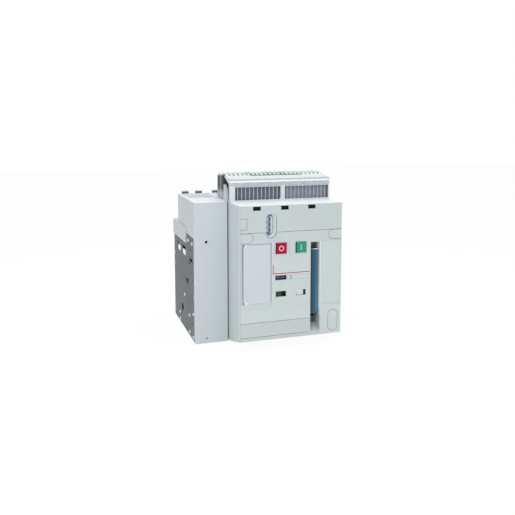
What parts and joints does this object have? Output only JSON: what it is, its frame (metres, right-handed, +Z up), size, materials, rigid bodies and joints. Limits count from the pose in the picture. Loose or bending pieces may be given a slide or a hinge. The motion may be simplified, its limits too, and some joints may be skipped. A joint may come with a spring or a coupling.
{
  "type": "open-type switch disconnector",
  "caption": "Four-pole fixed low-voltage switch disconnector with a box-shaped front cover, push buttons, a charging handle in a well, flag windows and a terminal housing on top.",
  "frame": {"origin": "centre of the four foot holes, on the floor plane", "axes": "+X to the right seen from the front, +Y from the front cover to the rear terminals, +Z up"},
  "size_m": [0.355, 0.369, 0.421],
  "materials": {
    "light_case": "satin, fine grain",
    "cover_grey": "satin, fine grain",
    "door_grey": "satin",
    "housing_white": "satin",
    "plate_steel": "satin grey zinc coat",
    "zinc": "bright zinc",
    "tool_steel": "ground",
    "spring_steel": "oiled",
    "copper": "tinned copper, satin",
    "silver_tip": "silver alloy, satin",
    "insulator_dark": "matte moulded thermoset",
    "terminal_dark": "matte",
    "comb_grey": "matte",
    "handle_blue": "satin",
    "button_red": "semi-gloss",
    "button_green": "semi-gloss",
    "window_black": "gloss",
    "pane": "clear",
    "bezel_white": "gloss",
    "marker_green": "matte",
    "flag_paint": "matte printed"
  },
  "bodies": {
    "frame": {"side_plate_right": "plate_steel", "side_plate_left": "plate_steel", "side_plate_screws": "zinc", "rear_pole_case": "light_case", "phase_barriers": "light_case", "front_pole_case": "light_case", "neutral_pole_cover": "light_case", "cover_screws": "zinc", "arc_chutes": "light_case", "splitter_plates": "tool_steel", "upper_terminals": "copper", "lower_terminals": "copper", "fixed_contact_tips": "silver_tip", "pivot_pins": "tool_steel", "flexible_shunts": "copper", "opening_spring": "spring_steel", "drive_plate_left": "plate_steel", "drive_plate_right": "plate_steel", "drive_tie_rods": "zinc", "closing_springs": "spring_steel", "spring_bridge": "plate_steel", "handle_well": "light_case", "front_cover": "cover_grey", "accessory_windows": "window_black", "padlock_bezel": "bezel_white", "release_bay": "light_case", "door_hinge_pins": "tool_steel", "face_plate": "cover_grey", "button_guide": "plate_steel", "button_springs": "spring_steel", "flag_windows": "pane", "auxiliary_switch": "insulator_dark", "terminal_housing": "housing_white", "comb_ribs": "comb_grey", "comb_back": "terminal_dark", "terminal_carriers": "terminal_dark", "terminal_rail": "housing_white", "wire_terminals": "housing_white", "marker_strips": "marker_green"},
    "main_shaft": {"main_shaft": "tool_steel"},
    "drive_links": {"drive_links": "insulator_dark"},
    "moving_contacts": {"contact_carriers": "insulator_dark", "contact_fingers": "copper", "finger_springs": "spring_steel"},
    "position_flag": {"position_flag": "flag_paint"},
    "camshaft": {"camshaft": "tool_steel", "ratchet_wheel": "tool_steel"},
    "crosshead": {"crosshead": "tool_steel", "cam_roller": "tool_steel"},
    "spring_flag": {"spring_flag": "bezel_white"},
    "ready_flag": {"ready_flag": "flag_paint"},
    "open_button": {"open_button": "button_red"},
    "open_latch": {"open_latch": "tool_steel"},
    "close_button": {"close_button": "button_green"},
    "close_latch": {"close_latch": "tool_steel"},
    "charging_handle": {"charging_handle": "handle_blue", "handle_shaft": "tool_steel"},
    "charging_pawl": {"charging_pawl": "tool_steel"},
    "padlock_slide": {"padlock_slide": "zinc"},
    "blank_door": {"blank_door": "door_grey"}
  },
  "joints": [
    {"name": "main_shaft_turn", "type": "hinge", "parent": "frame", "child": "main_shaft", "pos_m": [0, -0.114, 0.1126], "axis": [-1, 0, 0], "range_deg": [0, 27.2], "stiffness_Nm_per_rad": 4, "springref_deg": -17.19, "deforming": ["opening_spring", "flexible_shunts"]},
    {"name": "drive_link_swing", "type": "hinge", "parent": "main_shaft", "child": "drive_links", "pos_m": [0, -0.12152, 0.1437], "axis": [-1, 0, 0], "range_deg": [-28.4, 0]},
    {"name": "contact_swing", "type": "hinge", "parent": "frame", "child": "moving_contacts", "pos_m": [0, 0.012, 0.092], "axis": [-1, 0, 0], "range_deg": [0, 15]},
    {"name": "position_flag_turn", "type": "hinge", "parent": "frame", "child": "position_flag", "pos_m": [0, -0.19, 0.1374], "axis": [-1, 0, 0], "range_deg": [0, 22.2]},
    {"name": "camshaft_turn", "type": "hinge", "parent": "frame", "child": "camshaft", "pos_m": [0, -0.16, 0.15], "axis": [-1, 0, 0], "range_deg": [0, 180]},
    {"name": "crosshead_slide", "type": "slide", "parent": "frame", "child": "crosshead", "axis": [0, 0, 1], "range_m": [0, 0.0252], "stiffness_N_per_m": 200, "springref_m": -0.003, "deforming": ["closing_springs"]},
    {"name": "spring_flag_turn", "type": "hinge", "parent": "frame", "child": "spring_flag", "pos_m": [0, -0.19, 0.1374], "axis": [-1, 0, 0], "range_deg": [0, 22.2]},
    {"name": "ready_flag_turn", "type": "hinge", "parent": "frame", "child": "ready_flag", "pos_m": [0, -0.2, 0.1772], "axis": [-1, 0, 0], "range_deg": [0, 22.2]},
    {"name": "open_button_press", "type": "slide", "parent": "frame", "child": "open_button", "axis": [0, 1, 0], "range_m": [0, 0.005], "stiffness_N_per_m": 400, "springref_m": -0.003, "deforming": ["button_springs"]},
    {"name": "open_latch_turn", "type": "hinge", "parent": "frame", "child": "open_latch", "pos_m": [0, -0.207, 0.218], "axis": [-1, 0, 0], "range_deg": [0, 11.03]},
    {"name": "close_button_press", "type": "slide", "parent": "frame", "child": "close_button", "axis": [0, 1, 0], "range_m": [0, 0.005], "stiffness_N_per_m": 400, "springref_m": -0.003},
    {"name": "close_latch_turn", "type": "hinge", "parent": "frame", "child": "close_latch", "pos_m": [0, -0.207, 0.2], "axis": [-1, 0, 0], "range_deg": [0, 6.6]},
    {"name": "charging_handle_pull", "type": "hinge", "parent": "frame", "child": "charging_handle", "pos_m": [0, -0.214, 0.093], "axis": [1, 0, 0], "range_deg": [0, 80], "stiffness_Nm_per_rad": 0.6, "springref_deg": -34.38},
    {"name": "charging_pawl_lift", "type": "hinge", "parent": "charging_handle", "child": "charging_pawl", "pos_m": [0, -0.18185, 0.08558], "axis": [1, 0, 0], "range_deg": [0, 10]},
    {"name": "padlock_slide_pull", "type": "slide", "parent": "frame", "child": "padlock_slide", "axis": [0, -1, 0], "range_m": [0, 0.018], "stiffness_N_per_m": 60, "springref_m": -0.01},
    {"name": "blank_door_swing", "type": "hinge", "parent": "frame", "child": "blank_door", "pos_m": [-0.0765, -0.2331, 0.18965], "axis": [0, 0, -1], "range_deg": [0, 110]}
  ],
  "couplings": [
    {"joint": "drive_link_swing", "follows": "main_shaft_turn", "ratio": -1.0351},
    {"joint": "contact_swing", "follows": "main_shaft_turn", "ratio": 0.54962},
    {"joint": "position_flag_turn", "follows": "main_shaft_turn", "ratio": 0.80882},
    {"joint": "crosshead_slide", "follows": "camshaft_turn", "m_per_rad": 0.0079577},
    {"joint": "spring_flag_turn", "follows": "camshaft_turn", "ratio": 0.12222},
    {"joint": "ready_flag_turn", "follows": "camshaft_turn", "ratio": 0.12222},
    {"joint": "open_latch_turn", "follows": "open_button_press", "rad_per_m": 38.141},
    {"joint": "close_latch_turn", "follows": "close_button_press", "rad_per_m": 22.681}
  ]
}
